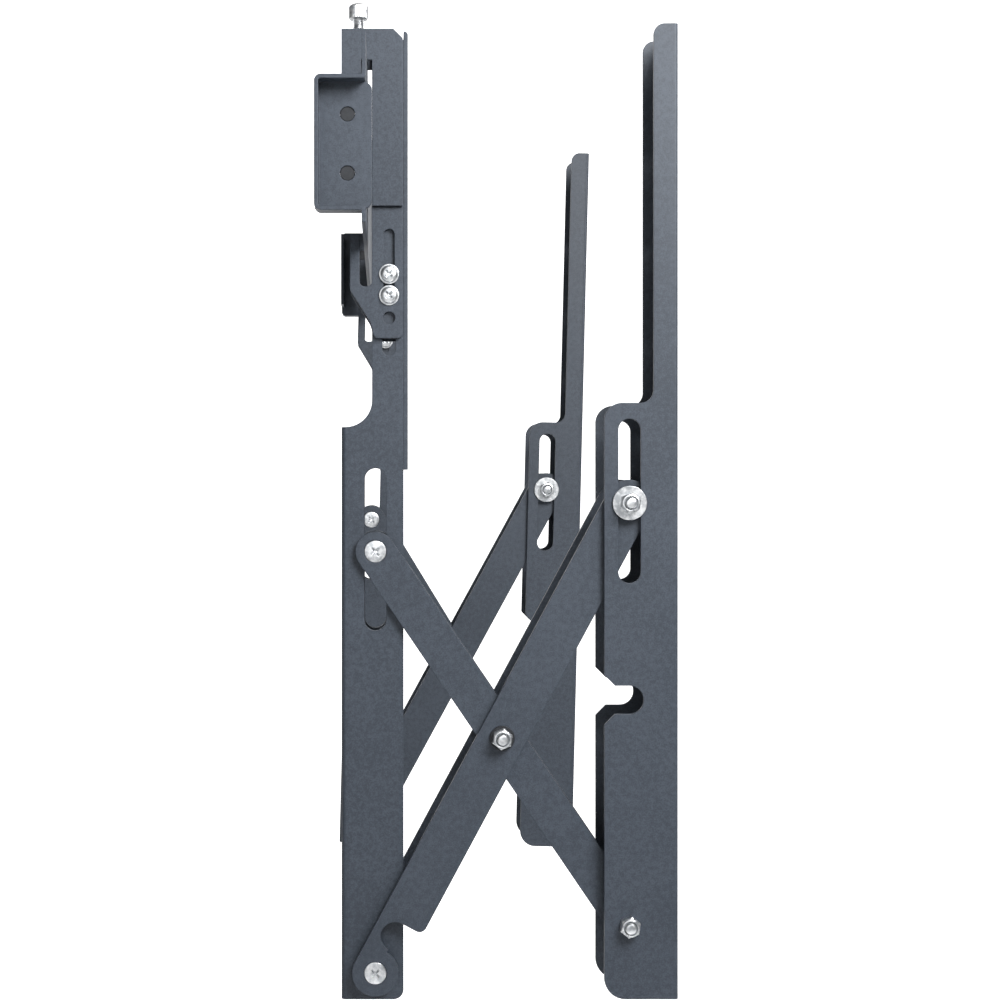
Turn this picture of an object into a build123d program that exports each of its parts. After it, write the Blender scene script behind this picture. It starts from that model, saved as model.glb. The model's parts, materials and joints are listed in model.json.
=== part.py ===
"""Pop-out video wall mount: one wall rail and two scissor modules hooked on it.

Frame: +X out from the wall, Y along the wall rail, +Z up. The origin lies on
the wall plane at the middle of the wall rail. Each module is drawn as seen
along +Y, in its own plane, whose x runs out from the wall and whose y runs up.
"""

import os
from math import asin, cos, degrees, radians, sin

from build123d import *

# Wall rail, a flat plate held off the wall by a folded bracket at each end
rail_length = 600.0
rail_depth = 25.5
rail_sheet = 2.0
rail_bend = 2.5
rail_top = 53.5
rail_low = -40.3
bracket_rim_top = 32.6
bracket_rim_low = -34.4
bracket_rim_length = 12.0
end_face_reach = 28.5
end_face_corner = 4.0
end_hole_radius = 3.75
end_hole_spacing = 29.4
end_hole_out = 16.3
foot_half_height = 28.0
foot_length = 30.0
wall_slot_width = 8.5
wall_slot_length = 18.0
wall_slot_rows = 40.0
access_hole_radius = 9.0

# Scissor: half lengths of the arms, from the crossing bolt to each end pin
long_half = 143.5
short_half = 121.0
long_width = 25.0
short_width = 21.3
arm_sheet = 3.0
bite_radius = 7.8
bite_corner = 4.0

# Layers of a module, each counted out from its middle plane
channel_half = 11.0
channel_sheet = 2.0
layer_gap = 0.5
display_half = 21.5
display_sheet = 2.0

# Frame channel on the wall side
frame_back = 11.5
frame_front = 45.0
frame_neck_back = 28.0
frame_neck_fillet = 14.5
frame_toe_radius = 5.4
frame_bend = 2.5
frame_top = 70.5
pivot_out = 29.8
pivot_height = -432.5
pivot_to_toe = 15.8
pivot_to_step = 293.6
frame_slot_width = 11.8
slot_spare = 1.0
slot_low_spare = 3.0
shortest_pin_span = 192.5
release_slot_width = 7.2
release_slot_low = -100.3
release_slot_high = -85.5
front_plate_sheet = 2.3
front_plate_top = 75.0
front_plate_low = -161.9
front_plate_round = 2.0

# Upper hook bracket, folded round the frame
bracket_top = 76.0
bracket_low = -19.5
bracket_corner = 5.0
bracket_front = 44.5
tab_front = 26.5
prong_low = 37.7
mouth_side_gap = 1.5
mouth_width = 6.0
mouth_top_gap = 5.8

# Height screw and the pad that hangs over the rail's upper edge
screw_out = 20.5
screw_radius = 3.0
screw_head_radius = 5.2
screw_head_height = 8.0
screw_spare = 8.0
screw_socket = 5.0
screw_socket_depth = 4.0
pad_thickness = 5.5
pad_leg = 8.1
pad_leg_length = 9.5
pad_lip_gap = 0.3
pad_side_gap = 0.3
pad_socket = 1.5
pad_screw_gap = 0.15

# Hook plates under the wall rail
hook_sheet = 2.0
hook_back = 16.1
hook_prong_front = 21.3
hook_prong_top = -34.4
hook_mouth_depth = 28.6
hook_bottom = -91.0
hook_corner = 2.7
hook_slot_out = 37.2
hook_knee = -64.9
hook_waist_out = 27.0
hook_waist = -82.0
hook_waist_radius = 12.0
hook_heel_out = 29.3
hook_top = -22.3
hook_head_taper = 22.0
hook_screw_end = 2.5
hook_slot_width = 6.0
hook_slot_low = -70.9
hook_slot_length = 38.9
hook_hole_radius = 3.35
hook_hole_height = -80.0
hook_screw_radius = 2.5
hook_screw_pitch = 11.5
hook_head_radius = 5.4
hook_head_height = 2.6

# Display rail, a folded channel open to the wall
display_web_out = 26.0
display_low = 39.1
display_top = 483.1
display_shoulder = 280.0
display_neck_width = 13.1
display_back = 13.5
display_neck_fillet = 7.0
display_shoulder_radius = 9.6
display_toe_radius = 11.2
display_top_radius = 6.0
display_bend = 1.6
display_slot_width = 12.0
notch_radius = 7.6
notch_chamfer = 5.7
screen_hole_radius = 4.3
screen_hole_spans = (100.0, 200.0, 300.0, 400.0)
screen_hole_middle = 222.0

# Pins, bolts and washers
fit_gap = 0.05
cut_margin = 1.0
thread_radius = 3.0
stud_radius = 4.0
disc_radius = 6.0
rivet_radius = 6.5
slider_washer_radius = 8.0
rivet_height = 1.05
shoulder_radius = 5.0
flush_head_radius = 7.5
flush_head_height = 1.0
low_head_radius = 7.0
low_head_height = 2.5
lower_spacer_radius = 8.0
rail_spacer_radius = 6.5
nut_width = 10.0
nut_height = 4.6
nut_ring_radius = 4.7
nut_ring_height = 1.4
thread_end = 1.2
cross_washer_radius = 6.7
slide_washer_radius = 9.2
washer_sheet = 1.2
bush_flange_radius = 8.0
cross_slot_width = 1.3
cross_slot_length = 6.4
cross_slot_depth = 1.2
cross_turn = 20.0

# The two modules: name, place along the rail, lift, lean and arm angle at rest
modules = (
    ("left", -200.0, 0.0, 0.0, 28.3),
    ("right", 200.0, 5.5, 1.4, 27.2),
)
lean_centre_out = 25.0
lean_centre_height = 5.0

# Values worked out from the ones above
lip_front = rail_depth
lip_back = rail_depth - rail_sheet
bracket_start = rail_length / 2 - bracket_rim_length
foot_middle = bracket_start - foot_length / 2
frame_outer = channel_half
frame_inner = channel_half - channel_sheet
short_inner = frame_outer + layer_gap
short_outer = short_inner + arm_sheet
long_inner = short_outer + layer_gap
long_outer = long_inner + arm_sheet
display_outer = display_half
display_inner = display_half - display_sheet
bracket_inner = frame_outer + fit_gap
bracket_outer = bracket_inner + hook_sheet
hook_inner = frame_outer + 2 * fit_gap
hook_outer = hook_inner + hook_sheet
long_reach = long_half + short_half
mouth_back = lip_back - mouth_side_gap
mouth_top = rail_top + mouth_top_gap
hook_mouth_low = hook_prong_top - hook_mouth_depth
pad_top = rail_top + fit_gap + pad_thickness


class Module:
    """Where one scissor module stands, and the angles of its arms at rest."""

    def __init__(self, name, along, lift, lean, long_angle):
        self.name = name
        self.along = along
        self.lift = lift
        self.lean = lean
        turn = radians(lean)
        self.out = Vector(cos(turn), 0, -sin(turn))
        self.up = Vector(sin(turn), 0, cos(turn))
        centre = Vector(lean_centre_out, 0, lean_centre_height)
        shift = centre - self.out * lean_centre_out - self.up * lean_centre_height
        self.origin = shift + Vector(0, along, lift)
        beta = radians(long_angle)
        alpha = asin(long_half * sin(beta) / short_half)
        self.long_angle = long_angle
        self.short_angle = degrees(alpha)
        self.pivot = Vector(pivot_out, pivot_height)
        self.crossing = self.pivot + Vector(long_half * sin(beta), long_half * cos(beta))
        self.slider = self.crossing + Vector(-short_half * sin(alpha), short_half * cos(alpha))
        self.rail_pivot = self.crossing + Vector(short_half * sin(alpha), -short_half * cos(alpha))
        self.rail_slider = self.crossing + Vector(long_half * sin(beta), long_half * cos(beta))

    def side(self, reach):
        """Plane of the side view, reach mm before the module's middle plane."""
        return Plane(origin=self.origin + Vector(0, -reach, 0), x_dir=self.out, z_dir=(0, -1, 0))

    def place(self, spot):
        """Row position of a point of the side view, in the middle plane."""
        return self.origin + self.out * spot.X + self.up * spot.Y

    def turning(self, spot, hand):
        """Plane through a pin's axis: x is the radius, y runs outward on one hand."""
        return Plane(origin=self.place(spot), x_dir=self.out, z_dir=self.up * -hand)

    def along_arm(self, reach, spot, angle):
        """Side plane with its origin on a pin and its x turned along an arm."""
        turn = radians(angle)
        along = self.out * cos(turn) + self.up * sin(turn)
        origin = self.place(spot) + Vector(0, -reach, 0)
        return Plane(origin=origin, x_dir=along, z_dir=(0, -1, 0))

    def level(self, out, height):
        """Plane across the up direction, at a point of the side view."""
        return Plane(origin=self.place(Vector(out, height)), x_dir=self.out, z_dir=self.up)

    def height_at(self, out, row_height):
        """Side view height of a row height, at a distance out."""
        return (row_height - self.origin.Z - self.out.Z * out) / self.up.Z

    def facing(self, out, height):
        """Plane on a web that faces the room: x runs along the wall, y up."""
        return Plane(origin=self.place(Vector(out, height)), x_dir=(0, 1, 0), z_dir=self.out)


def save(piece, name):
    """Label a finished piece and write its file."""
    piece.part.label = name
    export_step(piece.part, f"parts/{name}.step")


def cut_cross(module, spots, face, hand):
    """Cut the driver's cross into the heads of the part block that calls this."""
    with BuildSketch(module.side(hand * face)) as crosses:
        for spot in spots:
            with Locations((spot.X, spot.Y)):
                Rectangle(cross_slot_length, cross_slot_width, rotation=cross_turn)
                Rectangle(cross_slot_width, cross_slot_length, rotation=cross_turn)
    extrude(crosses.sketch, amount=-hand * cross_slot_depth, mode=Mode.SUBTRACT)


def turned_pair(module, spot, steps, bore=0.0, cross_face=0.0):
    """Two mirrored turned pieces on one axis, from steps of radius, start and end."""
    with BuildPart() as pair:
        for hand in (1, -1):
            with BuildSketch(module.turning(spot, hand)):
                for radius, start, end in steps:
                    with Locations(((bore + radius) / 2, (start + end) / 2)):
                        Rectangle(radius - bore, end - start)
            revolve(axis=Axis(module.place(spot), (0, -1, 0)))
            if cross_face:
                cut_cross(module, [spot], cross_face, hand)
    return pair


def lock_nuts(module, spot, seat):
    """Two hexagon nuts with a nylon ring, one on each side of the module."""
    with BuildPart() as nuts:
        for hand in (1, -1):
            with BuildSketch(module.side(hand * seat)):
                with Locations((spot.X, spot.Y)):
                    RegularPolygon(nut_width / 2, 6, major_radius=False)
                    Circle(thread_radius + fit_gap, mode=Mode.SUBTRACT)
            extrude(amount=hand * nut_height)
            with BuildSketch(module.side(hand * (seat + nut_height))):
                with Locations((spot.X, spot.Y)):
                    Circle(nut_ring_radius)
                    Circle(thread_radius + fit_gap, mode=Mode.SUBTRACT)
            extrude(amount=hand * nut_ring_height)
    return nuts


def corners(sketch, *spots):
    """The sketch's corners that lie nearest to the given points."""
    return [sketch.vertices().sort_by_distance((x, y))[0] for x, y in spots]


def wall_rail():
    """Flat plate that the modules hang on, with holes to reach the wall screws."""
    with BuildPart() as rail:
        with BuildSketch(Plane.YZ.offset(lip_back)):
            with Locations((0, (rail_top + rail_low) / 2)):
                Rectangle(2 * bracket_start, rail_top - rail_low)
            with GridLocations(2 * foot_middle, wall_slot_rows, 2, 2):
                Circle(access_hole_radius, mode=Mode.SUBTRACT)
        extrude(amount=rail_sheet)
    return rail


def end_bracket(hand):
    """Folded bracket at one end: a rim with lips, a face and a foot on the wall."""
    inner_top = bracket_rim_top - rail_sheet
    inner_low = bracket_rim_low + rail_sheet
    with BuildPart() as bracket:
        with BuildSketch(Plane.XZ.offset(-hand * bracket_start)):
            with BuildLine():
                FilletPolyline(
                    (lip_front, rail_top),
                    (lip_front, inner_top),
                    (rail_sheet, inner_top),
                    (rail_sheet, inner_low),
                    (lip_front, inner_low),
                    (lip_front, rail_low),
                    radius=rail_bend / 2,
                )
                offset(amount=rail_sheet, side=Side.RIGHT)
            make_face()
        extrude(amount=-hand * bracket_rim_length)
        with BuildSketch(Plane.XZ.offset(-hand * bracket_start)) as face:
            with Locations((end_face_reach / 2, (inner_top + inner_low) / 2)):
                Rectangle(end_face_reach, inner_top - inner_low)
            fillet(face.vertices().group_by(Axis.X)[-1], end_face_corner)
            with Locations((end_hole_out, 0)):
                with GridLocations(0, end_hole_spacing, 1, 2):
                    Circle(end_hole_radius, mode=Mode.SUBTRACT)
        extrude(amount=-hand * rail_sheet)
        with BuildSketch(Plane.YZ):
            with Locations((hand * (foot_middle + rail_sheet / 2), 0)):
                Rectangle(foot_length + rail_sheet, 2 * foot_half_height)
            with Locations((hand * foot_middle, 0)):
                with GridLocations(0, wall_slot_rows, 1, 2):
                    SlotOverall(wall_slot_length, wall_slot_width, mode=Mode.SUBTRACT)
        extrude(amount=rail_sheet)
    return bracket


def frame_channel(module):
    """Channel folded round the wall side, its flanges carried up as two necks."""
    low = pivot_height - pivot_to_toe
    step = pivot_height + pivot_to_step
    slot_high = pivot_height + long_reach + frame_slot_width / 2 + slot_spare
    slot_low = pivot_height + shortest_pin_span - frame_slot_width / 2 - slot_low_spare
    with BuildPart() as frame:
        with BuildSketch(module.side(-frame_outer)) as outline:
            with BuildLine():
                Polyline(
                    (frame_back, low),
                    (frame_front, low),
                    (frame_front, frame_top),
                    (frame_neck_back, frame_top),
                    (frame_neck_back, step),
                    (frame_back, step),
                    close=True,
                )
            make_face()
            fillet(corners(outline, (frame_neck_back, step)), frame_neck_fillet)
            fillet(corners(outline, (frame_front, low)), frame_toe_radius)
        extrude(amount=2 * frame_outer)
        back = frame.faces().sort_by(Axis(module.origin, module.out))[0]
        fillet(back.edges().filter_by(lambda edge: edge.length > frame_top), frame_bend)
        with BuildSketch(module.side(-frame_inner)):
            with BuildLine():
                Polyline(
                    (frame_back + channel_sheet, low - cut_margin),
                    (frame_front + cut_margin, low - cut_margin),
                    (frame_front + cut_margin, frame_top + cut_margin),
                    (frame_back + channel_sheet, frame_top + cut_margin),
                    close=True,
                )
            make_face()
        extrude(amount=2 * frame_inner, mode=Mode.SUBTRACT)
        with BuildSketch(module.side(-frame_outer)):
            with Locations((pivot_out, (slot_high + slot_low) / 2)):
                SlotOverall(slot_high - slot_low, frame_slot_width, rotation=90)
            with Locations((pivot_out, pivot_height)):
                Circle(stud_radius + fit_gap)
            with Locations((hook_slot_out, (release_slot_high + release_slot_low) / 2)):
                SlotOverall(release_slot_high - release_slot_low, release_slot_width, rotation=90)
            for spot in hook_screw_spots():
                with Locations((spot.X, spot.Y)):
                    Circle(hook_screw_radius + fit_gap)
        extrude(amount=2 * frame_outer, mode=Mode.SUBTRACT)
    return frame


def front_plate(module):
    """Stiffening plate across the front of the two necks."""
    middle = (front_plate_top + front_plate_low) / 2
    with BuildPart() as plate:
        with BuildSketch(module.side(-frame_outer)) as edge:
            with Locations((frame_front + fit_gap + front_plate_sheet / 2, middle)):
                Rectangle(front_plate_sheet, front_plate_top - front_plate_low)
            fillet(edge.vertices().group_by(Axis.Y)[-1].sort_by(Axis.X)[-1:], front_plate_round)
        extrude(amount=2 * frame_outer)
    return plate


def upper_bracket(module):
    """Bracket folded round the frame, with the hook that hangs on the upper lip."""
    tab_low = bracket_top - hook_sheet
    with BuildPart() as bracket:
        with BuildSketch(module.side(-bracket_outer)) as outline:
            with BuildLine():
                Polyline(
                    (frame_back, bracket_top),
                    (frame_back, prong_low),
                    (mouth_back, prong_low),
                    (mouth_back, mouth_top),
                    (mouth_back + mouth_width, mouth_top),
                    (mouth_back + mouth_width, bracket_low),
                    (bracket_front, bracket_low),
                    (bracket_front, bracket_top),
                    close=True,
                )
            make_face()
            chamfer(corners(outline, (bracket_front, bracket_top)), bracket_corner)
        extrude(amount=2 * bracket_outer)
        with BuildSketch(module.side(-bracket_inner)):
            with BuildLine():
                Polyline(
                    (frame_back + hook_sheet, prong_low - cut_margin),
                    (bracket_front + cut_margin, prong_low - cut_margin),
                    (bracket_front + cut_margin, tab_low),
                    (frame_back + hook_sheet, tab_low),
                    close=True,
                )
            make_face()
        extrude(amount=2 * bracket_inner, mode=Mode.SUBTRACT)
        with BuildSketch(module.side(-bracket_inner)):
            with Locations((mouth_back + mouth_width + frame_front, (bracket_low + prong_low) / 2)):
                Rectangle(2 * frame_front, 2 * (prong_low - bracket_low))
        extrude(amount=2 * bracket_inner, mode=Mode.SUBTRACT)
        with BuildSketch(module.side(-bracket_inner)):
            with Locations((bracket_front, tab_low)):
                Rectangle(2 * (bracket_front - tab_front), 4 * hook_sheet)
        extrude(amount=2 * bracket_inner, mode=Mode.SUBTRACT)
        with BuildSketch(module.level(screw_out, tab_low)):
            Circle(screw_radius + fit_gap)
        extrude(amount=hook_sheet, mode=Mode.SUBTRACT)
    return bracket


def height_screw(module):
    """Socket head screw whose tip stands in the pad and carries the frame."""
    tip = module.height_at(screw_out, pad_top - pad_socket)
    head = bracket_top + screw_spare - module.lift
    with BuildPart() as screw:
        with BuildSketch(module.level(screw_out, tip)):
            Circle(screw_radius)
        extrude(amount=head - tip)
        with BuildSketch(module.level(screw_out, head)):
            Circle(screw_head_radius)
        extrude(amount=screw_head_height)
        with BuildSketch(module.level(screw_out, head + screw_head_height)):
            RegularPolygon(screw_socket / 2, 6, major_radius=False)
        extrude(amount=-screw_socket_depth, mode=Mode.SUBTRACT)
    return screw


def screw_pad(module):
    """Pad hung over the rail's upper edge, with the socket that the screw turns in."""
    half_width = frame_inner - pad_side_gap
    seat = rail_top + fit_gap
    leg_front = lip_back - pad_lip_gap
    tip = module.height_at(screw_out, pad_top - pad_socket)
    with BuildPart() as pad:
        with BuildSketch(Plane.XZ.offset(half_width - module.along)):
            with BuildLine():
                Polyline(
                    (lip_back - pad_leg, seat - pad_leg_length),
                    (leg_front, seat - pad_leg_length),
                    (leg_front, seat),
                    (lip_front, seat),
                    (lip_front, pad_top),
                    (lip_back - pad_leg, pad_top),
                    close=True,
                )
            make_face()
        extrude(amount=-2 * half_width)
        with BuildSketch(module.level(screw_out, tip)):
            Circle(screw_radius + pad_screw_gap)
        extrude(amount=2 * pad_socket, mode=Mode.SUBTRACT)
    return pad


def hook_screw_spots():
    """Middles of a hook plate's two screws, the lower one first."""
    low = hook_slot_low + hook_slot_width / 2 + fit_gap
    return [Vector(hook_slot_out, low), Vector(hook_slot_out, low + hook_screw_pitch)]


def hook_plate(module, hand):
    """Release hook that slides on the frame and catches the rail's lower lip."""
    drop = -module.lift
    prong_top = hook_prong_top + drop
    right = bracket_front
    with BuildPart() as plate:
        with BuildSketch(module.side(hand * hook_inner)) as outline:
            with BuildLine():
                Polyline(
                    (hook_back, prong_top),
                    (hook_back, hook_knee + drop),
                    (hook_waist_out, hook_waist + drop),
                    (hook_heel_out, hook_bottom + drop),
                    (right, hook_bottom + drop),
                    (right, hook_top + drop),
                    (mouth_back + mouth_width, hook_top + drop),
                    (mouth_back + mouth_width, hook_mouth_low + drop),
                    (hook_prong_front, hook_mouth_low + drop),
                    (hook_prong_front, prong_top),
                    close=True,
                )
            make_face()
            fillet(corners(outline, (hook_waist_out, hook_waist + drop)), hook_waist_radius)
            fillet(corners(outline, (hook_back, hook_knee + drop)), hook_corner)
            fillet(
                corners(
                    outline,
                    (hook_prong_front, prong_top),
                    (hook_prong_front, hook_mouth_low + drop),
                    (mouth_back + mouth_width, hook_mouth_low + drop),
                    (right, hook_bottom + drop),
                    (hook_heel_out, hook_bottom + drop),
                ),
                hook_corner,
            )
            with Locations((hook_slot_out, hook_slot_low + drop + hook_slot_length / 2)):
                SlotOverall(hook_slot_length, hook_slot_width, rotation=90, mode=Mode.SUBTRACT)
            with Locations((hook_slot_out, hook_hole_height + drop)):
                Circle(hook_hole_radius, mode=Mode.SUBTRACT)
        extrude(amount=hand * hook_sheet)
    return plate


def hook_screws(module):
    """Four pan head screws, two through each hook plate's slot."""
    head = hook_outer + fit_gap
    with BuildPart() as screws:
        for hand in (1, -1):
            with BuildSketch(module.side(hand * (frame_inner - hook_screw_end))):
                for spot in hook_screw_spots():
                    with Locations((spot.X, spot.Y)):
                        Circle(hook_screw_radius)
            extrude(amount=hand * (head - frame_inner + hook_screw_end))
            with BuildSketch(module.side(hand * head)):
                for spot in hook_screw_spots():
                    with Locations((spot.X, spot.Y)):
                        Circle(hook_head_radius)
            extrude(amount=hand * hook_head_height, taper=hook_head_taper)
            cut_cross(module, hook_screw_spots(), head + hook_head_height, hand)
    return screws


def long_arm(module, hand):
    """Outer arm, from the frame's fixed pivot to the display rail's slot."""
    angle = 90 - module.long_angle
    reach = long_half
    with BuildPart() as arm:
        with BuildSketch(module.along_arm(hand * long_inner, module.crossing, angle)) as outline:
            SlotCenterToCenter(2 * reach, long_width)
            with Locations(((-reach - short_half) / 2, -long_width / 2)):
                Rectangle(reach - short_half, long_width, mode=Mode.SUBTRACT)
            with Locations((-reach, 0)):
                Circle(long_width / 2)
            with Locations((-short_half, -long_width / 2)):
                Rectangle(2 * bite_radius, long_width, mode=Mode.SUBTRACT)
            fillet(corners(outline, (-short_half + bite_radius, -long_width / 2)), bite_corner)
            with Locations((-short_half, 0)):
                Circle(bite_radius, mode=Mode.SUBTRACT)
            with Locations((-reach, 0)):
                Circle(disc_radius + fit_gap, mode=Mode.SUBTRACT)
            with Locations((0, 0), (reach, 0)):
                Circle(thread_radius + fit_gap, mode=Mode.SUBTRACT)
        extrude(amount=hand * arm_sheet)
    return arm


def short_arm(module, hand):
    """Inner arm, from the frame's slot to the display rail's fixed pivot."""
    angle = 90 + module.short_angle
    with BuildPart() as arm:
        with BuildSketch(module.along_arm(hand * short_inner, module.crossing, angle)):
            SlotCenterToCenter(2 * short_half, short_width)
            with Locations((short_half, 0)):
                Circle(disc_radius + fit_gap, mode=Mode.SUBTRACT)
            with Locations((0, 0), (-short_half, 0)):
                Circle(shoulder_radius + fit_gap, mode=Mode.SUBTRACT)
        extrude(amount=hand * arm_sheet)
        with BuildSketch(module.along_arm(hand * short_inner, module.crossing, angle)):
            with Locations((0, 0), (-short_half, 0)):
                Circle(flush_head_radius + 2 * fit_gap)
        extrude(amount=hand * (flush_head_height + fit_gap), mode=Mode.SUBTRACT)
    return arm


def display_rail(module):
    """Channel open to the wall that the screen is bolted to."""
    pivot = module.rail_pivot
    out, height = pivot.X, pivot.Y
    front = out + display_web_out
    back = out - display_back
    neck = front - display_neck_width
    notch = height + short_half
    slot_high = height + long_reach + display_slot_width / 2 + slot_spare
    slot_low = height + shortest_pin_span - display_slot_width / 2 - slot_low_spare
    top = height + display_top
    low = height - display_low
    shoulder = height + display_shoulder
    with BuildPart() as rail:
        with BuildSketch(module.side(-display_outer)) as outline:
            with BuildLine():
                Polyline(
                    (front, low),
                    (front, top),
                    (neck, top),
                    (neck, shoulder),
                    (back, shoulder),
                    (back, notch + notch_radius),
                    (back, notch - notch_radius),
                    (back, low),
                    close=True,
                )
            make_face()
            fillet(corners(outline, (neck, top)), display_top_radius)
            fillet(corners(outline, (neck, shoulder)), display_neck_fillet)
            fillet(corners(outline, (back, shoulder)), display_shoulder_radius)
            fillet(corners(outline, (back, low)), display_toe_radius)
        extrude(amount=2 * display_outer)
        web = rail.faces().sort_by(Axis(module.origin, module.out))[-1]
        fillet(web.edges().filter_by(lambda edge: edge.length > display_shoulder), display_bend)
        with BuildSketch(module.side(-display_inner)):
            with Locations((front - display_sheet - display_top, height)):
                Rectangle(2 * display_top, 3 * display_top)
        extrude(amount=2 * display_inner, mode=Mode.SUBTRACT)
        with BuildSketch(module.side(-display_outer)):
            with Locations((out, (slot_high + slot_low) / 2)):
                SlotOverall(slot_high - slot_low, display_slot_width, rotation=90)
            with Locations((out, height)):
                Circle(thread_radius + fit_gap)
            with Locations((out, notch)):
                Circle(notch_radius)
            with Locations((out - display_back, notch)):
                mouth = Rectangle(2 * display_back, 2 * notch_radius)
            with BuildLine():
                Polyline(
                    (back - cut_margin, notch + notch_radius + notch_chamfer + cut_margin),
                    (back + notch_chamfer, notch + notch_radius),
                    (back + notch_chamfer, notch - notch_radius),
                    (back - cut_margin, notch - notch_radius - notch_chamfer - cut_margin),
                    close=True,
                )
            make_face()
        extrude(amount=2 * display_outer, mode=Mode.SUBTRACT)
        with BuildSketch(module.facing(front, height + screen_hole_middle)):
            for span in screen_hole_spans:
                with Locations((0, span / 2), (0, -span / 2)):
                    Circle(screen_hole_radius)
        extrude(amount=-display_sheet, mode=Mode.SUBTRACT)
    return rail


def parted_rail(module):
    """Web and flanges of the leaning rail, apart so that collision pieces leave its hollow open."""
    rail = display_rail(module)
    pivot = module.rail_pivot
    seam = module.facing(pivot.X + display_web_out - display_sheet, pivot.Y)
    with BuildPart() as web:
        add(rail.part)
        split(bisect_by=seam, keep=Keep.TOP)
    with BuildPart() as flanges:
        add(rail.part)
        split(bisect_by=seam, keep=Keep.BOTTOM)
    return web, flanges


def lower_pivot_studs(module):
    """Riveted studs that the long arms turn on, flush with the arms."""
    steps = (
        (rivet_radius, frame_inner - rivet_height, frame_inner - fit_gap),
        (stud_radius, frame_inner - fit_gap, long_inner),
        (disc_radius, long_inner, long_outer),
    )
    return turned_pair(module, module.pivot, steps, cross_face=long_outer)


def lower_pivot_spacers(module):
    """Rings that hold the long arms off the frame."""
    steps = ((lower_spacer_radius, frame_outer + fit_gap, long_inner - fit_gap),)
    return turned_pair(module, module.pivot, steps, bore=stud_radius + fit_gap)


def upper_slider_studs(module):
    """Studs that carry the short arms' upper ends in the frame's slots."""
    steps = (
        (slider_washer_radius, frame_inner - rivet_height, frame_inner - 2 * fit_gap),
        (stud_radius, frame_inner - 2 * fit_gap, frame_outer + 4 * fit_gap),
        (disc_radius, frame_outer + 4 * fit_gap, short_outer),
    )
    return turned_pair(module, module.slider, steps, cross_face=short_outer)


def cross_bolts(module):
    """Flush headed bolts at the arms' crossing, one on each side."""
    seat = long_outer + 2 * fit_gap + washer_sheet
    end = seat + nut_height + nut_ring_height + thread_end
    shoulder_end = short_outer + 2 * fit_gap
    steps = (
        (flush_head_radius, short_inner, short_inner + flush_head_height),
        (shoulder_radius, short_inner + flush_head_height, shoulder_end),
        (thread_radius, shoulder_end, end),
    )
    return turned_pair(module, module.crossing, steps)


def cross_washers(module):
    """Dark washers under the crossing bolts' nuts."""
    start = long_outer + fit_gap
    steps = ((cross_washer_radius, start, start + washer_sheet),)
    return turned_pair(module, module.crossing, steps, bore=thread_radius + fit_gap)


def cross_nuts(module):
    """Nylon lock nuts of the crossing bolts."""
    return lock_nuts(module, module.crossing, long_outer + 2 * fit_gap + washer_sheet)


def rail_pivot_bolts(module):
    """Flush headed bolts that the short arms' lower ends turn on."""
    end = display_outer + fit_gap + nut_height + nut_ring_height + thread_end
    shoulder_end = short_outer + 2 * fit_gap
    steps = (
        (flush_head_radius, short_inner, short_inner + flush_head_height),
        (shoulder_radius, short_inner + flush_head_height, shoulder_end),
        (thread_radius, shoulder_end, end),
    )
    return turned_pair(module, module.rail_pivot, steps)


def rail_pivot_spacers(module):
    """Rings between the short arms and the display rail."""
    steps = ((rail_spacer_radius, short_outer + 3 * fit_gap, display_inner - fit_gap),)
    return turned_pair(module, module.rail_pivot, steps, bore=thread_radius + fit_gap)


def rail_pivot_nuts(module):
    """Nylon lock nuts outside the display rail's lower pivots."""
    return lock_nuts(module, module.rail_pivot, display_outer + fit_gap)


def rail_slide_bolts(module):
    """Bolts at the long arms' upper ends, in the display rail's slots."""
    seat = display_outer + 4 * fit_gap + washer_sheet
    end = seat + nut_height + nut_ring_height + thread_end
    head = long_inner - fit_gap
    steps = (
        (low_head_radius, head - low_head_height, head),
        (thread_radius, head, end),
    )
    return turned_pair(module, module.rail_slider, steps)


def rail_slide_bushes(module):
    """Flanged nylon bushes that run in the display rail's slots."""
    flange_end = display_inner - 2 * fit_gap
    steps = (
        (bush_flange_radius, long_outer + fit_gap, flange_end),
        (stud_radius, flange_end, display_outer + 2 * fit_gap),
    )
    return turned_pair(module, module.rail_slider, steps, bore=thread_radius + fit_gap)


def rail_slide_washers(module):
    """Large zinc washers over the display rail's slots."""
    start = display_outer + 3 * fit_gap
    steps = ((slide_washer_radius, start, start + washer_sheet),)
    return turned_pair(module, module.rail_slider, steps, bore=thread_radius + fit_gap)


def rail_slide_nuts(module):
    """Nuts of the bolts in the display rail's slots."""
    return lock_nuts(module, module.rail_slider, display_outer + 4 * fit_gap + washer_sheet)


os.makedirs("parts", exist_ok=True)
save(wall_rail(), "wall_rail")
save(end_bracket(-1), "left_end_bracket")
save(end_bracket(1), "right_end_bracket")

paired = {"front": 1, "rear": -1}
single_pieces = {
    "frame_channel": frame_channel,
    "front_plate": front_plate,
    "upper_bracket": upper_bracket,
    "height_screw": height_screw,
    "screw_pad": screw_pad,
    "hook_screws": hook_screws,
    "display_rail": display_rail,
    "lower_pivot_studs": lower_pivot_studs,
    "lower_pivot_spacers": lower_pivot_spacers,
    "upper_slider_studs": upper_slider_studs,
    "cross_bolts": cross_bolts,
    "cross_washers": cross_washers,
    "cross_nuts": cross_nuts,
    "rail_pivot_bolts": rail_pivot_bolts,
    "rail_pivot_spacers": rail_pivot_spacers,
    "rail_pivot_nuts": rail_pivot_nuts,
    "rail_slide_bolts": rail_slide_bolts,
    "rail_slide_bushes": rail_slide_bushes,
    "rail_slide_washers": rail_slide_washers,
    "rail_slide_nuts": rail_slide_nuts,
}
two_sided_pieces = {"hook_plate": hook_plate, "long_arm": long_arm, "short_arm": short_arm}

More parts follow.
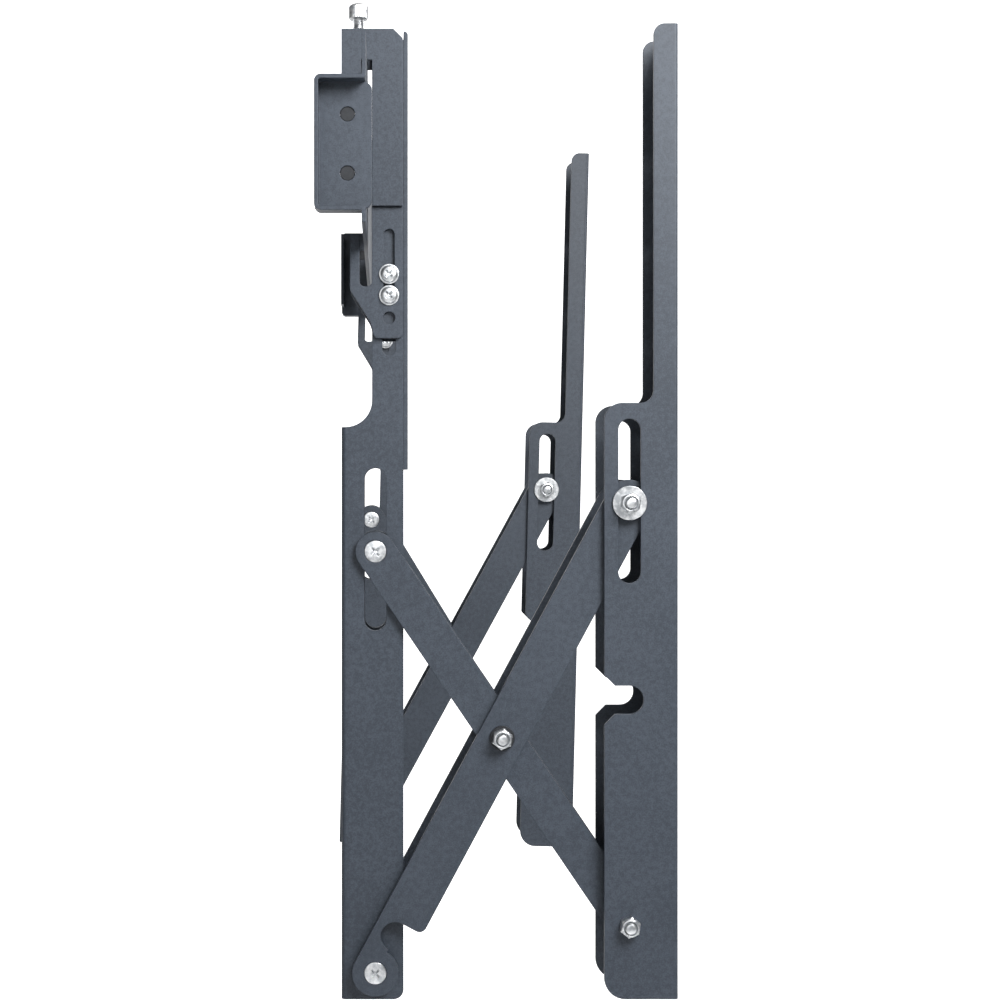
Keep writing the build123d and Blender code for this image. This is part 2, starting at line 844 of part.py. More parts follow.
for values in modules:
    stand = Module(*values)
    for piece_name, make in single_pieces.items():
        save(make(stand), f"{stand.name}_{piece_name}")
    for piece_name, make in two_sided_pieces.items():
        for side_name, hand in paired.items():
            save(make(stand, hand), f"{stand.name}_{piece_name}_{side_name}")
    if stand.lean:
        web, flanges = parted_rail(stand)
        save(web, f"{stand.name}_display_rail")
        save(flanges, f"{stand.name}_display_flanges")
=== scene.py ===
import json
from math import atan2, ceil, cos, pi, radians, sin

import bmesh
import bpy
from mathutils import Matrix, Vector


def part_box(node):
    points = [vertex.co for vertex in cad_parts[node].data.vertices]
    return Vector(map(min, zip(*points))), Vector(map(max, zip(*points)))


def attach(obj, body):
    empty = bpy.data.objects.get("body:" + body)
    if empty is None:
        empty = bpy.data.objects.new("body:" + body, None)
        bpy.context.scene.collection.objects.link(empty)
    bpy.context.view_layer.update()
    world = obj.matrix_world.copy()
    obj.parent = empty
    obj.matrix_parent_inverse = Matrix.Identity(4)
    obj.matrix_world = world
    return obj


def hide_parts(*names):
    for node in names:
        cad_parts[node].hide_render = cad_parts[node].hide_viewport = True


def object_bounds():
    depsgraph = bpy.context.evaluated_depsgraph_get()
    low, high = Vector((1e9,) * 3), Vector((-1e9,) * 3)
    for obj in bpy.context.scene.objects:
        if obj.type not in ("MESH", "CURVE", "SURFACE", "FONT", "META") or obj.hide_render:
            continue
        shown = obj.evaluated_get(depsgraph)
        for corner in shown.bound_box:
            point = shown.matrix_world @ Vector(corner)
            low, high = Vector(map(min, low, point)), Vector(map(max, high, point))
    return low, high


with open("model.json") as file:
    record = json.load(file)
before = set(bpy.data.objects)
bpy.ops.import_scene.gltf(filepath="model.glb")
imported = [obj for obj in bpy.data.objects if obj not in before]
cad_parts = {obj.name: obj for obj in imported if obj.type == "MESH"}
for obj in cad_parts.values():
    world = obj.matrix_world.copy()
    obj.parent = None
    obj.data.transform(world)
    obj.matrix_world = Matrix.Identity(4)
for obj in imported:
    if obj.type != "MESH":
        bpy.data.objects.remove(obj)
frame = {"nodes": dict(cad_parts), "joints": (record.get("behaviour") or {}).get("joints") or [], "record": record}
cad_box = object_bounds()
record = frame["record"]

MM = 0.001
PHOTO_SIDE = 1000
SENSOR_WIDTH = 36

# Where the camera's axis meets the photograph, and how large things are there
AXIS_PIXEL_X = 385
AXIS_PIXEL_Y = 479
NEAR_RAIL_DISTANCE = 984 * MM
NEAR_RAIL_PIXEL = 0.535 * MM
AXIS_OUT = 35 * MM
AXIS_HEIGHT = -167 * MM

# Shades of the finishes
COAT_SHADE = (0.0175, 0.0232, 0.0325)
COAT_SHADE_LIGHT = (0.0305, 0.0385, 0.0515)
ZINC_SHADE = (0.68, 0.69, 0.70)
ZINC_SHADE_DULL = (0.43, 0.45, 0.47)
BLACK_SHADE = (0.010, 0.011, 0.013)
BLACK_SHADE_LIGHT = (0.024, 0.026, 0.030)
NYLON_SHADE = (0.80, 0.80, 0.77)
# Grey nylon insert, darkened below its own tone: partly painted shade of the recess in the nut's collar
INSERT_PAINTED_SHADE = (0.10, 0.11, 0.12)
INSERT_PAINTED_SHADE_LIGHT = (0.16, 0.17, 0.18)

# Layers across a module, in mm from its middle plane
FRAME_INNER = 9.0
FRAME_OUTER = 11.0
SHORT_INNER = 11.5
SHORT_OUTER = 14.5
LONG_INNER = 15.0
LONG_OUTER = 18.0
RAIL_INNER = 19.5
RAIL_OUTER = 21.5
HOOK_OUTER = 13.1
GAP = 0.05

# Fasteners, in mm
STUD_RADIUS = 4.0
DISC_RADIUS = 6.0
THREAD_RADIUS = 3.0
THREAD_DEPTH = 0.32
THREAD_PITCH = 1.0
SHOULDER_RADIUS = 5.0
NUT_WIDTH = 10.0
NUT_HEIGHT = 4.6
COLLAR_RADIUS = 4.85
COLLAR_HEIGHT = 1.4
WASHER_SHEET = 1.2
HOOK_SCREW_PITCH = 11.5
CHAMFER = 0.3
THREAD_RINGS = 5
THREAD_SHOWN = 1.2
SOCKET_WIDTH = 5.0
SOCKET_DEPTH = 1.6
RIVET_START = 7.95
LOWER_RIVET = (8.95, 6.5)
UPPER_RIVET = (8.9, 8.0)
FLUSH_HEAD = 1.0
FLUSH_HEAD_RADIUS = 7.5
SLIDE_HEAD = 2.5
SLIDE_HEAD_RADIUS = 7.0
LOWER_SPACER_RADIUS = 8.0
RAIL_SPACER_RADIUS = 6.5
CROSS_WASHER_RADIUS = 6.7
SLIDE_WASHER_RADIUS = 9.2
BUSH_FLANGE_RADIUS = 8.0
NUT_CHAMFER_RADIUS = 5.15
INSERT_RADIUS = 3.7
NUT_TURN = radians(21)
CROSS_TURN = radians(45)
CROSS_WIDE = (2.9, 0.62)
CROSS_DEEP = (1.5, 0.42)
PAN_HEAD = ((0, 5.25), (0.15, 5.4), (0.5, 5.4), (0.65, 5.2), (0.72, 4.65), (1.2, 4.6),
            (1.7, 4.35), (2.1, 3.95), (2.4, 3.4), (2.6, 2.8))
HEIGHT_HEAD_RADIUS = 5.2
HEIGHT_HEAD = 8.0
HEIGHT_SOCKET_DEPTH = 4.0
KNURL_TEETH = 36
KNURL_DEPTH = 0.22
SHARP_ANGLE = radians(28)

# Dark discs in the end brackets' holes, in mm: painted shade standing in for the shadowed insides of the holes
BRACKET_START = 288.0
END_HOLE_OUT = 16.3
END_HOLE_HALF_SPACING = 14.7
END_HOLE_RADIUS = 3.75
END_HOLE_SHADE_REACH = (BRACKET_START + 0.4, BRACKET_START + 1.6)

# Stage, in metres: the floor below the part, and where it bends up
FLOOR_DROP = 0.42
SWEEP_HALF_WIDTH = 9.0
SWEEP_FRONT = -7.0
SWEEP_BEND = 3.2
SWEEP_RADIUS = 1.6
SWEEP_TOP = 7.0
SWEEP_STEPS = 12
PAPER_SHADE = (0.88, 0.88, 0.88)

# Light: each lamp's place, target, size and power
WORLD_SHADE = (0.96, 0.98, 1.0, 1)
WORLD_STRENGTH = 0.20
PART_MIDDLE = (0.1, 0, -0.15)
LAMPS = {
    "key_upper_right": ((0.60, -0.95, 0.50), (0.1, -0.2, -0.1), (0.55, 0.55), 35),
    "fill_front": ((-0.3, -2.2, 0.2), PART_MIDDLE, (1.4, 1.4), 10),
    "back_fill": ((-0.6, 1.7, 0.7), PART_MIDDLE, (0.8, 0.8), 6),
}


class Wire:
    """A socket of a finish. Arithmetic on it adds Math nodes."""

    def __init__(self, finish, socket):
        self.finish = finish
        self.socket = socket

    def math(self, operation, first, second):
        return self.finish.node("ShaderNodeMath", {"operation": operation}, {0: first, 1: second})

    def __add__(self, other):
        return self.math("ADD", self, other)

    def __radd__(self, other):
        return self.math("ADD", other, self)

    def __sub__(self, other):
        return self.math("SUBTRACT", self, other)

    def __rsub__(self, other):
        return self.math("SUBTRACT", other, self)

    def __mul__(self, other):
        return self.math("MULTIPLY", self, other)

    def __rmul__(self, other):
        return self.math("MULTIPLY", other, self)


class Finish:
    """A material being made: its Principled shader and whatever feeds it."""

    def __init__(self, name, **constants):
        self.material = bpy.data.materials.new(name)
        self.material.use_nodes = True
        self.tree = self.material.node_tree
        self.shader = self.tree.nodes["Principled BSDF"]
        for label, value in constants.items():
            self.shader.inputs[label.replace("_", " ")].default_value = value

    def node(self, kind, settings=None, inputs=None, output=0):
        """Add a node: settings first, then the values or links of its sockets."""
        node = self.tree.nodes.new(kind)
        for label, value in (settings or {}).items():
            if label == "stops":
                for element, (place, shade) in zip(node.color_ramp.elements, value):
                    element.position = place
                    element.color = (shade, shade, shade, 1)
            else:
                setattr(node, label, value)
        for label, value in (inputs or {}).items():
            self.feed(node.inputs[label], value)
        return Wire(self, node.outputs[output])

    def feed(self, socket, value):
        if isinstance(value, Wire):
            self.tree.links.new(value.socket, socket)
        elif isinstance(value, tuple) and len(value) == 3 and socket.type == "RGBA":
            socket.default_value = (*value, 1)
        else:
            socket.default_value = value

    def place(self):
        """Position on the piece, in metres."""
        return self.node("ShaderNodeTexCoord", output="Object")

    def noise(self, scale, detail=3.0, roughness=0.5):
        inputs = {"Vector": self.place(), "Scale": scale, "Detail": detail, "Roughness": roughness}
        return self.node("ShaderNodeTexNoise", inputs=inputs, output="Fac")

    def ramp(self, factor, *stops):
        return self.node("ShaderNodeValToRGB", {"stops": stops}, {"Fac": factor})

    def blend(self, factor, first, second):
        """Mix two colours."""
        inputs = {0: factor, 6: first, 7: second}
        return self.node("ShaderNodeMix", {"data_type": "RGBA"}, inputs, output=2)

    def bump(self, height, strength, distance, normal=None):
        inputs = {"Height": height, "Strength": strength, "Distance": distance}
        if normal:
            inputs["Normal"] = normal
        return self.node("ShaderNodeBump", inputs=inputs)

    def soft_edges(self, radius):
        """Normals rounded over the piece's edges."""
        return self.node("ShaderNodeBevel", {"samples": 4}, {"Radius": radius})

    def set(self, **wires):
        """Link or set the shader's sockets, and give the material."""
        for label, wire in wires.items():
            self.feed(self.shader.inputs[label.replace("_", " ")], wire)
        return self.material


def powder_coat():
    """Charcoal powder coat: a fine sandy texture with soft mottling."""
    coat = Finish("charcoal_powder_coat", Specular_IOR_Level=0.35)
    grain = coat.noise(1500, 2.0, 0.6)
    mottle = coat.noise(380, 2.0, 0.5)
    cloud = coat.noise(14, 3.0, 0.6)
    speckle = coat.ramp(grain * 0.5 + mottle * 0.3 + cloud * 0.2, (0.42, 0.0), (0.58, 1.0))
    rough = 0.42 + cloud * 0.10 + grain * 0.14
    sandy = coat.bump(mottle, 0.30, 0.08 * MM, coat.soft_edges(0.6 * MM))
    shade = coat.blend(speckle, COAT_SHADE, COAT_SHADE_LIGHT)
    return coat.set(Base_Color=shade, Roughness=rough,
                    Normal=coat.bump(grain, 0.50, 0.05 * MM, sandy))


def zinc():
    """Bright zinc plate, faintly clouded, with fine turning marks."""
    plate = Finish("bright_zinc", Metallic=1.0)
    cloud = plate.noise(420, 3.0, 0.55)
    shade = plate.blend(plate.ramp(cloud, (0.38, 0.0), (0.60, 1.0)), ZINC_SHADE_DULL, ZINC_SHADE)
    marks = plate.bump(plate.noise(1500), 0.12, 0.02 * MM, plate.soft_edges(0.15 * MM))
    return plate.set(Base_Color=shade, Roughness=0.26 + cloud * 0.16, Normal=marks)


def black_zinc():
    """Black zinc on washers, spacers and pads."""
    plate = Finish("black_zinc", Metallic=0.5)
    cloud = plate.noise(600, 3.0, 0.55)
    return plate.set(Base_Color=plate.blend(cloud, BLACK_SHADE, BLACK_SHADE_LIGHT),
                     Roughness=0.34 + cloud * 0.15,
                     Normal=plate.bump(cloud, 0.2, 0.02 * MM, plate.soft_edges(0.2 * MM)))


def plastic(name, shade, shade_light):
    """Moulded nylon with a faint grain."""
    moulded = Finish(name, Specular_IOR_Level=0.4)
    cloud = moulded.noise(300, 2.0, 0.5)
    return moulded.set(Base_Color=moulded.blend(cloud, shade, shade_light),
                       Roughness=0.38 + cloud * 0.15,
                       Normal=moulded.bump(moulded.noise(900), 0.1, 0.03 * MM))


finishes = {
    "charcoal_powder_coat": powder_coat(),
    "bright_zinc": zinc(),
    "dark_steel": black_zinc(),
    "nylon": plastic("natural_nylon", NYLON_SHADE, tuple(0.9 * v for v in NYLON_SHADE)),
    # The insert's dark grey is partly painted shade of its recess
    "insert": plastic("grey_nylon_insert_painted_shade", INSERT_PAINTED_SHADE, INSERT_PAINTED_SHADE_LIGHT),
}
node_slots = {entry["node"]: entry["material_slot"] for entry in record["subparts"]}
node_bodies = {node: body for body, members in record["behaviour"]["bodies"].items()
               for node in members}
for name, node in frame["nodes"].items():
    node.data.materials.clear()
    node.data.materials.append(finishes[node_slots[name]])


# Outlines: the reach of a turned piece's ring at each angle, and the angles of their corners

def hexagon(width, turn=0.0):
    def reach(angle):
        return width / 2 / cos((angle - turn) % (pi / 3) - pi / 6)
    return reach


def chamfered_hexagon(width, radius, turn=0.0):
    sides = hexagon(width, turn)
    return lambda angle: min(radius, sides(angle))


def cross(half_length, half_width, turn=0.0):
    """A driver's cross. It grows by the larger reach of its two bars."""
    def reach(angle):
        off = abs((angle - turn + pi / 4) % (pi / 2) - pi / 4)
        along = half_length / cos(off)
        across = half_width / max(sin(off), 1e-6)
        return max(min(along, across), half_width / cos(off))
    return reach


def knurl(radius, teeth, depth):
    return lambda angle: radius - depth * abs(sin(angle * teeth / 2))


def even_angles(count):
    return [2 * pi * k / count for k in range(count)]


def hexagon_angles(turn=0.0):
    return [turn + k * pi / 3 for k in range(6)]


def cross_angles(half_length, half_width, turn=0.0):
    corner = atan2(half_width, half_length)
    return [turn + k * pi / 2 + off for k in range(4) for off in (-corner, 0, corner, pi / 4)]


def merged(*angle_lists):
    """All angles in order, without the ones that lie close to a corner."""
    corners = sorted({round(a % (2 * pi), 6) for part in angle_lists[1:] for a in part})
    kept = [a for a in angle_lists[0]
            if all(min(abs(a - c), 2 * pi - abs(a - c)) > radians(2) for c in corners)]
    return sorted(kept + corners)


class Turned:
    """Mesh of turned pieces: rings of a radius or an outline, from one end to the other."""

    def __init__(self, node, slot=None):
        self.node = node
        self.slot = slot or node_slots[node]
        self.slots = [self.slot]
        self.mesh = bmesh.new()

    def ring(self, centre, axis, across, up, step, angles):
        """Vertices of one ring, or one vertex on the axis."""
        distance, reach = step[0] * MM, step[1]
        middle = centre + axis * distance
        if reach == 0:
            return [self.mesh.verts.new(middle)]
        reaches = [(reach(a) if callable(reach) else reach) * MM for a in angles]
        return [self.mesh.verts.new(middle + across * (r * cos(a)) + up * (r * sin(a)))
                for r, a in zip(reaches, angles)]

    def add(self, centre, axis, steps, angles, closed=False):
        """Add one body. A step is a distance, a radius or outline, and at times a slot from there."""
        axis = Vector(axis).normalized()
        if abs(axis.y) > 0.5:
            across, up = Vector((1, 0, 0)), Vector((0, 0, 1))
        else:
            across, up = Vector((0, 1, 0)).cross(axis).normalized(), Vector((0, 1, 0))
        rings = [self.ring(Vector(centre), axis, across, up, step, angles) for step in steps]
        bands = list(zip(rings, rings[1:]))
        slots = [step[2] if len(step) > 2 else self.slot for step in steps]
        if closed:
            bands.append((rings[-1], rings[0]))
        for (low, high), slot in zip(bands, slots):
            if slot not in self.slots:
                self.slots.append(slot)
            for k in range(len(angles)):
                m = (k + 1) % len(angles)
                if len(low) == 1:
                    corners = (low[0], high[k], high[m])
                elif len(high) == 1:
                    corners = (low[k], low[m], high[0])
                else:
                    corners = (low[k], low[m], high[m], high[k])
                self.mesh.faces.new(corners).material_index = self.slots.index(slot)

    def finish(self, title, replaces=True):
        """Make the piece, which stands for the node or is added beside it."""
        bmesh.ops.recalc_face_normals(self.mesh, faces=self.mesh.faces)
        data = bpy.data.meshes.new(title)
        self.mesh.to_mesh(data)
        self.mesh.free()
        data.shade_smooth()
        data.set_sharp_from_angle(angle=SHARP_ANGLE)
        for slot in self.slots:
            data.materials.append(finishes[slot])
        piece = bpy.data.objects.new(title, data)
        bpy.context.scene.collection.objects.link(piece)
        if replaces:
            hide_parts(self.node)
        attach(piece, node_bodies[self.node])
        return piece


def threaded(start, end):
    """Steps of a screw thread."""
    def groove(distance):
        def reach(angle):
            phase = (distance / THREAD_PITCH - angle / (2 * pi)) % 1.0
            return THREAD_RADIUS - THREAD_DEPTH * abs(2 * phase - 1)
        return reach
    count = max(2, ceil((end - start) / THREAD_PITCH * THREAD_RINGS))
    distances = [start + (end - start) * k / count for k in range(count + 1)]
    return [(distance, groove(distance)) for distance in distances]


def cross_recess(face, deep=1.5, size=1.0):
    """Steps of a driver's cross, from the head's face inward."""
    mouth = cross(CROSS_WIDE[0] * size, CROSS_WIDE[1] * size, CROSS_TURN)
    bottom = cross(CROSS_DEEP[0] * size, CROSS_DEEP[1] * size, CROSS_TURN)
    return [(face, mouth), (face - deep, bottom), (face - deep - 0.25, 0)]


def disc_stud(inner, inner_end, inner_radius, disc_start, face):
    """Rivet head inside the frame, shank, and a disc with a driver's cross."""
    return [(inner, 0), (inner, inner_radius - CHAMFER), (inner + CHAMFER, inner_radius),
            (inner_end - 0.1, inner_radius), (inner_end, inner_radius - 0.1),
            (inner_end, STUD_RADIUS), (disc_start, STUD_RADIUS), (disc_start, DISC_RADIUS - CHAMFER),
            (disc_start + CHAMFER, DISC_RADIUS), (face - 0.45, DISC_RADIUS),
            (face - 0.12, DISC_RADIUS - 0.22), (face, DISC_RADIUS - 0.6),
            *cross_recess(face)]


def collar_ring(start, end, inner, outer):
    """Closed profile of a washer or spacer with eased edges."""
    ease = min(0.22, (end - start) / 4)
    return [(start, inner), (start, outer - ease), (start + ease, outer), (end - ease, outer),
            (end, outer - ease), (end, inner + ease), (end - ease, inner)]


def lock_nut(seat):
    """Closed profile of a hexagon lock nut: chamfered hexagon, rolled collar, nylon insert, whose dark grey is
    partly painted shade of its recess.
    """
    corner = NUT_WIDTH / 2 / cos(pi / 6)
    bore = THREAD_RADIUS + GAP
    top = seat + NUT_HEIGHT
    end = top + COLLAR_HEIGHT
    sides = chamfered_hexagon(NUT_WIDTH, corner, NUT_TURN)
    return [(seat, bore), (seat, chamfered_hexagon(NUT_WIDTH, NUT_CHAMFER_RADIUS, NUT_TURN)),
            (seat + 0.4, sides), (top - 0.5, sides),
            (top, chamfered_hexagon(NUT_WIDTH, COLLAR_RADIUS + 0.1, NUT_TURN)),
            (top, COLLAR_RADIUS), (end - 0.5, COLLAR_RADIUS), (end - 0.15, COLLAR_RADIUS - 0.25),
            (end, COLLAR_RADIUS - 0.6), (end, INSERT_RADIUS + 0.25),
            (end - 0.15, INSERT_RADIUS + 0.05),
            (end - 0.5, INSERT_RADIUS, "insert"), (end - 0.55, bore + 0.1, "insert"),
            (end - 0.9, bore)]


def headed_bolt(head, head_end, head_radius, shoulder_end, end):
    """Low headed bolt with a hexagon socket, a shoulder and a threaded end."""
    socket = hexagon(SOCKET_WIDTH)
    shoulder = []
    start = head_end
    if shoulder_end is not None:
        shoulder = [(head_end, SHOULDER_RADIUS), (shoulder_end, SHOULDER_RADIUS)]
        start = shoulder_end
    return [(head + SOCKET_DEPTH, 0), (head + SOCKET_DEPTH, socket), (head, socket),
            (head, head_radius - CHAMFER), (head + CHAMFER, head_radius),
            (head_end - 0.15, head_radius), (head_end, head_radius - 0.15),
            *shoulder, (start, THREAD_RADIUS), (end - 3.2, THREAD_RADIUS),
            *threaded(end - 3.0, end - 0.5), (end - 0.12, THREAD_RADIUS - 0.5),
            (end, THREAD_RADIUS - 0.8), (end - 0.03, 0)]


def pan_head_screw(seat):
    """Screw through a hook plate: domed head with a flange, and a plain end inside the frame."""
    face = seat + PAN_HEAD[-1][0]
    return [(FRAME_INNER - 2.5, 0), (FRAME_INNER - 2.5, 2.1), (FRAME_INNER - 2.1, 2.5), (seat, 2.5),
            *((seat + off, radius) for off, radius in PAN_HEAD),
            *cross_recess(face, deep=1.6, size=0.86)]


def flanged_bush():
    """Closed profile of the flanged bush in the display rail's slot."""
    bore = THREAD_RADIUS + GAP
    start = LONG_OUTER + GAP
    flange_end = RAIL_INNER - 2 * GAP
    end = RAIL_OUTER + 2 * GAP
    return [(start, bore), (start, BUSH_FLANGE_RADIUS - CHAMFER),
            (start + CHAMFER, BUSH_FLANGE_RADIUS), (flange_end - CHAMFER, BUSH_FLANGE_RADIUS),
            (flange_end, BUSH_FLANGE_RADIUS - CHAMFER), (flange_end, STUD_RADIUS),
            (end - 0.2, STUD_RADIUS), (end, STUD_RADIUS - 0.2), (end, bore)]


def middle_of(node):
    """Middle of a node's box, on the axis of its turned pieces."""
    low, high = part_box(node)
    return (low + high) / 2


plain_angles = even_angles(48)
cross_ring = merged(plain_angles, cross_angles(*CROSS_WIDE, CROSS_TURN),
                    cross_angles(*CROSS_DEEP, CROSS_TURN))
nut_ring = merged(plain_angles, hexagon_angles(NUT_TURN))
socket_ring = merged(plain_angles, hexagon_angles())

cross_nut_seat = LONG_OUTER + 2 * GAP + WASHER_SHEET
rail_nut_seat = RAIL_OUTER + GAP
slide_nut_seat = RAIL_OUTER + 4 * GAP + WASHER_SHEET
past_seat = NUT_HEIGHT + COLLAR_HEIGHT + THREAD_SHOWN
flush_head_end = SHORT_INNER + FLUSH_HEAD
shoulder_end = SHORT_OUTER + 2 * GAP
slide_head_end = LONG_INNER - GAP
bore_radius = THREAD_RADIUS + GAP

# Each fastener: its profile, the angles of its rings, and whether the profile closes on itself
fasteners = {
    "lower_pivot_studs": (
        disc_stud(RIVET_START, *LOWER_RIVET, LONG_INNER, LONG_OUTER), cross_ring, False),
    "upper_slider_studs": (
        disc_stud(RIVET_START, *UPPER_RIVET, FRAME_OUTER + 4 * GAP, SHORT_OUTER), cross_ring, False),
    "lower_pivot_spacers": (
        collar_ring(FRAME_OUTER + GAP, LONG_INNER - GAP, STUD_RADIUS + GAP, LOWER_SPACER_RADIUS),
        plain_angles, True),
    "cross_bolts": (
        headed_bolt(SHORT_INNER, flush_head_end, FLUSH_HEAD_RADIUS, shoulder_end,
                    cross_nut_seat + past_seat), socket_ring, False),
    "cross_washers": (
        collar_ring(LONG_OUTER + GAP, LONG_OUTER + GAP + WASHER_SHEET, bore_radius,
                    CROSS_WASHER_RADIUS), plain_angles, True),
    "cross_nuts": (lock_nut(cross_nut_seat), nut_ring, True),
    "rail_pivot_bolts": (
        headed_bolt(SHORT_INNER, flush_head_end, FLUSH_HEAD_RADIUS, shoulder_end,
                    rail_nut_seat + past_seat), socket_ring, False),
    "rail_pivot_spacers": (
        collar_ring(SHORT_OUTER + 3 * GAP, RAIL_INNER - GAP, bore_radius, RAIL_SPACER_RADIUS),
        plain_angles, True),
    "rail_pivot_nuts": (lock_nut(rail_nut_seat), nut_ring, True),
    "rail_slide_bolts": (
        headed_bolt(slide_head_end - SLIDE_HEAD, slide_head_end, SLIDE_HEAD_RADIUS, None,
                    slide_nut_seat + past_seat), socket_ring, False),
    "rail_slide_washers": (
        collar_ring(RAIL_OUTER + 3 * GAP, RAIL_OUTER + 3 * GAP + WASHER_SHEET, bore_radius,
                    SLIDE_WASHER_RADIUS), plain_angles, True),
    "rail_slide_nuts": (lock_nut(slide_nut_seat), nut_ring, True),
    "rail_slide_bushes": (flanged_bush(), plain_angles, True),
}


def make_fasteners(side):
    """The turned pieces on both sides of one module."""
    for kind, (steps, angles, closed) in fasteners.items():
        node = f"{side}_{kind}"
        turned = Turned(node)
        for hand in (-1, 1):
            turned.add(middle_of(node), (0, hand, 0), steps, angles, closed)
        turned.finish(f"{side}_turned_{kind}")


def make_hook_screws(side, up):
    """The two pan head screws on each side of one module."""
    node = f"{side}_hook_screws"
    steps = pan_head_screw(HOOK_OUTER + GAP)
    turned = Turned(node)
    for hand in (-1, 1):
        for half in (-HOOK_SCREW_PITCH / 2, HOOK_SCREW_PITCH / 2):
            turned.add(middle_of(node) + up * half * MM, (0, hand, 0), steps, cross_ring)
    turned.finish(f"{side}_domed_hook_screws")


def make_height_screw(side, joint):
    """Socket head screw with a knurled head, standing in its pad."""
    node = f"{side}_height_screw"
    axis = Vector(joint["axis"]).normalized()
    anchor = Vector(joint["pos_m"])
    along = [(vertex.co - anchor).dot(axis) for vertex in frame["nodes"][node].data.vertices]
    tip = anchor + axis * min(along)
    length = (max(along) - min(along)) / MM
    head = length - HEIGHT_HEAD
    grip = knurl(HEIGHT_HEAD_RADIUS, KNURL_TEETH, KNURL_DEPTH)
    socket = hexagon(SOCKET_WIDTH)
    bottom = length - HEIGHT_SOCKET_DEPTH
    steps = [(0, 0), (0, 2.1), (0.6, THREAD_RADIUS - THREAD_DEPTH), *threaded(0.8, head - 1.2),
             (head - 1.0, THREAD_RADIUS - THREAD_DEPTH), (head, THREAD_RADIUS),
             (head, HEIGHT_HEAD_RADIUS - 0.5), (head + 0.35, HEIGHT_HEAD_RADIUS - 0.2),
             (head + 0.6, grip), (length - 1.1, grip), (length - 0.8, HEIGHT_HEAD_RADIUS - 0.2),
             (length, HEIGHT_HEAD_RADIUS - 0.9), (length, SOCKET_WIDTH / 2 + 0.75),
             (length - 0.4, socket), (bottom, socket), (bottom - 0.6, 0)]
    turned = Turned(node)
    turned.add(tip, axis, steps, merged(even_angles(4 * KNURL_TEETH), hexagon_angles()))
    turned.finish(f"{side}_knurled_height_screw")


joints = {joint["name"]: joint for joint in frame["joints"]}
for side in ("left", "right"):
    make_fasteners(side)
    make_hook_screws(side, Vector(joints[f"{side}_lift"]["axis"]).normalized())
    make_height_screw(side, joints[f"{side}_screw_turn"])


def make_hole_shade_discs(side, hand):
    """Dark discs in the two holes of an end bracket: painted shade standing in for the shadowed insides of the
    holes.
    """
    # Dark discs set into the holes: painted shade
    turned = Turned(f"{side}_end_bracket", "dark_steel")
    low, high = END_HOLE_SHADE_REACH
    radius = END_HOLE_RADIUS - GAP
    steps = [(low, 0), (low, END_HOLE_RADIUS - CHAMFER), (low + 0.2, radius),
             (high - 0.2, radius), (high, END_HOLE_RADIUS - CHAMFER), (high, 0)]
    for height in (-END_HOLE_HALF_SPACING, END_HOLE_HALF_SPACING):
        turned.add((END_HOLE_OUT * MM, 0, height * MM), (0, hand, 0), steps, plain_angles)
    turned.finish(f"{side}_hole_shade_discs", replaces=False)


for side, hand in (("left", -1), ("right", 1)):
    make_hole_shade_discs(side, hand)


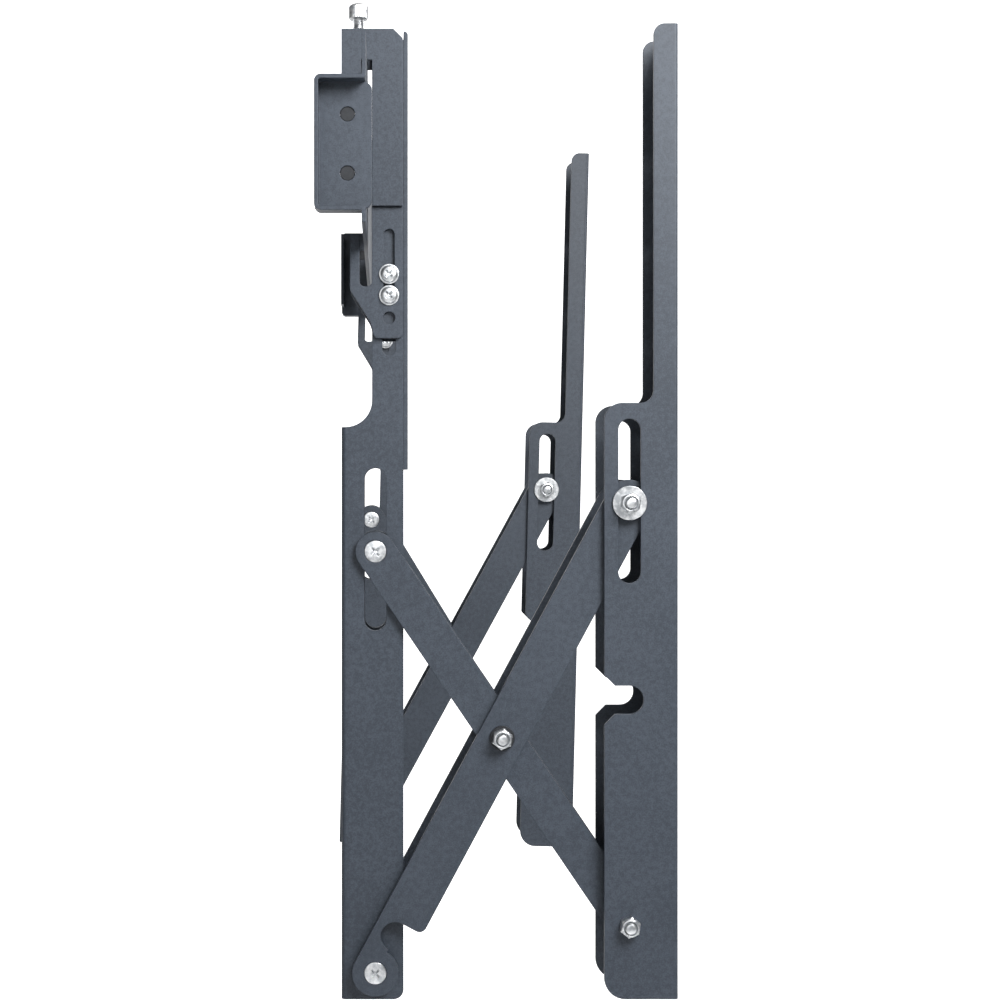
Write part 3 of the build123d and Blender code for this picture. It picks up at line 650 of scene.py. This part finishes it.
def make_stage():
    """A pale floor below the mount that sweeps up far behind it."""
    floor = cad_box[0].z - FLOOR_DROP
    profile = [(SWEEP_FRONT, floor), (SWEEP_BEND * 0.5, floor), (SWEEP_BEND, floor)]
    for k in range(1, SWEEP_STEPS + 1):
        angle = k * pi / (2 * SWEEP_STEPS)
        profile.append((SWEEP_BEND + SWEEP_RADIUS * sin(angle),
                        floor + SWEEP_RADIUS * (1 - cos(angle))))
    profile.append((SWEEP_BEND + SWEEP_RADIUS, SWEEP_TOP))
    corners = [(side * SWEEP_HALF_WIDTH, along, up) for along, up in profile for side in (-1, 1)]
    faces = [(2 * k, 2 * k + 1, 2 * k + 3, 2 * k + 2) for k in range(len(profile) - 1)]
    mesh = bpy.data.meshes.new("pale_sweep")
    mesh.from_pydata(corners, [], faces)
    mesh.shade_smooth()
    sweep = bpy.data.objects.new("pale_sweep", mesh)
    bpy.context.scene.collection.objects.link(sweep)
    paper = Finish("white_paper", Roughness=0.9, Specular_IOR_Level=0.1, Emission_Strength=1.0)
    depth = paper.node("ShaderNodeSeparateXYZ", inputs={0: paper.place()}, output=1)
    glow = paper.ramp(depth * 0.8 - 0.4, (0.0, 0.0), (1.0, 1.0))
    mesh.materials.append(paper.set(Base_Color=PAPER_SHADE, Emission_Color=glow))


def soft_light(name, place, target, size, power):
    """A square lamp at a place, turned to its target."""
    light = bpy.data.lights.new(name, "AREA")
    light.shape = "RECTANGLE"
    light.size, light.size_y = size
    light.energy = power
    lamp = bpy.data.objects.new(name, light)
    lamp.location = place
    lamp.rotation_euler = (Vector(target) - Vector(place)).to_track_quat("-Z", "Y").to_euler()
    bpy.context.scene.collection.objects.link(lamp)


def make_lights():
    """A faint even sky and three soft lamps."""
    world = bpy.data.worlds.new("studio")
    world.use_nodes = True
    sky = world.node_tree.nodes["Background"].inputs
    sky["Color"].default_value = WORLD_SHADE
    sky["Strength"].default_value = WORLD_STRENGTH
    bpy.context.scene.world = world
    for name, settings in LAMPS.items():
        soft_light(name, *settings)


def make_camera():
    """The photograph's view: level, looking along the wall rail."""
    data = bpy.data.cameras.new("photo_view")
    data.sensor_width = SENSOR_WIDTH
    focal_pixels = NEAR_RAIL_DISTANCE / NEAR_RAIL_PIXEL
    data.lens = data.sensor_width * focal_pixels / PHOTO_SIDE
    data.shift_x = (PHOTO_SIDE / 2 - AXIS_PIXEL_X) / PHOTO_SIDE
    data.shift_y = -(PHOTO_SIDE / 2 - AXIS_PIXEL_Y) / PHOTO_SIDE
    camera = bpy.data.objects.new("photo_view", data)
    near_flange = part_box("left_display_rail")[0].y
    camera.location = (AXIS_OUT, near_flange - NEAR_RAIL_DISTANCE, AXIS_HEIGHT)
    camera.rotation_euler = (pi / 2, 0, 0)
    bpy.context.scene.collection.objects.link(camera)
    bpy.context.scene.camera = camera


make_stage()
make_lights()
make_camera()
bpy.context.scene.view_settings.view_transform = "Standard"
